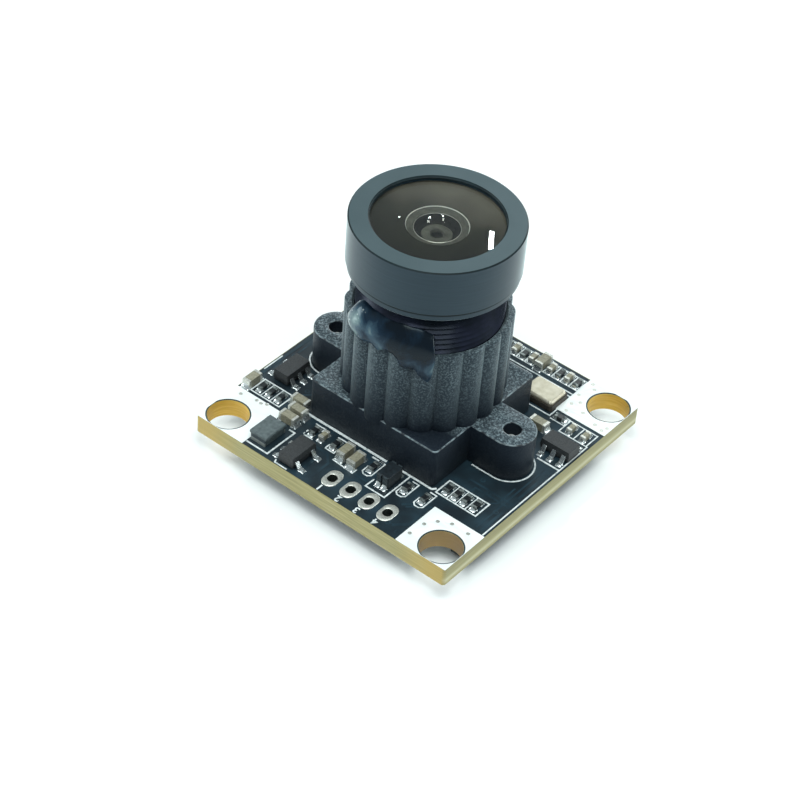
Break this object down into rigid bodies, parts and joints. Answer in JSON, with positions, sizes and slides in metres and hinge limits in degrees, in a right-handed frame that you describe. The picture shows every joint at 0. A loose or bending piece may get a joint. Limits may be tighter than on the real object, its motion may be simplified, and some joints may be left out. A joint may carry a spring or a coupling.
{
  "type": "camera module",
  "caption": "Square board camera: wide-angle M12 lens glued in a fluted, two-eared holder on a bare circuit board with corner mounting holes and solder pads.",
  "frame": {"origin": "centre of the board, at the height of the lowest package face under it, which is where the camera stands", "axes": "+Z along the lens axis out of the front glass; X and Y along the board's edges, with the wire pads at the -Y edge and the holder's ears along X"},
  "size_m": [0.026, 0.026, 0.0232],
  "materials": {
    "board": "satin solder mask over yellow glass-epoxy",
    "tinned_copper": "bright tinned",
    "black_moulding": "glass-filled moulding",
    "screw_steel": "plated",
    "anodised_metal": "satin black-grey anodised",
    "optical_glass": "polished",
    "ceramic": "fired ceramic",
    "dark_ceramic": "fired ceramic",
    "silicon": "polished",
    "ferrite": "ground",
    "lid_metal": "satin plated",
    "adhesive": "clear glossy bead"
  },
  "bodies": {
    "root": {"circuit_board": "board", "corner_lands": "tinned_copper", "wire_pads": "tinned_copper", "lens_holder": "black_moulding", "holder_screws": "screw_steel", "lens_barrel": "anodised_metal", "front_glass": "optical_glass", "inner_glass": "optical_glass", "rear_glass": "optical_glass", "infrared_filter": "optical_glass", "sensor_glass": "optical_glass", "upper_spacer": "anodised_metal", "aperture_stop": "anodised_metal", "rear_retainer": "anodised_metal", "sensor_package": "ceramic", "sensor_die": "silicon", "adhesive_bead": "adhesive", "regulator_bodies": "black_moulding", "regulator_leads": "tinned_copper", "controller_body": "black_moulding", "controller_leads": "tinned_copper", "flash_body": "black_moulding", "flash_leads": "tinned_copper", "power_inductor": "ferrite", "under_inductor": "ferrite", "common_mode_choke": "ferrite", "coil_end_plates": "tinned_copper", "oscillator_bases": "dark_ceramic", "oscillator_lids": "lid_metal", "large_capacitors": "ceramic", "large_capacitor_ends": "tinned_copper", "small_capacitors": "ceramic", "small_capacitor_ends": "tinned_copper", "chip_resistors": "dark_ceramic", "chip_resistor_ends": "tinned_copper"}
  },
  "joints": []
}
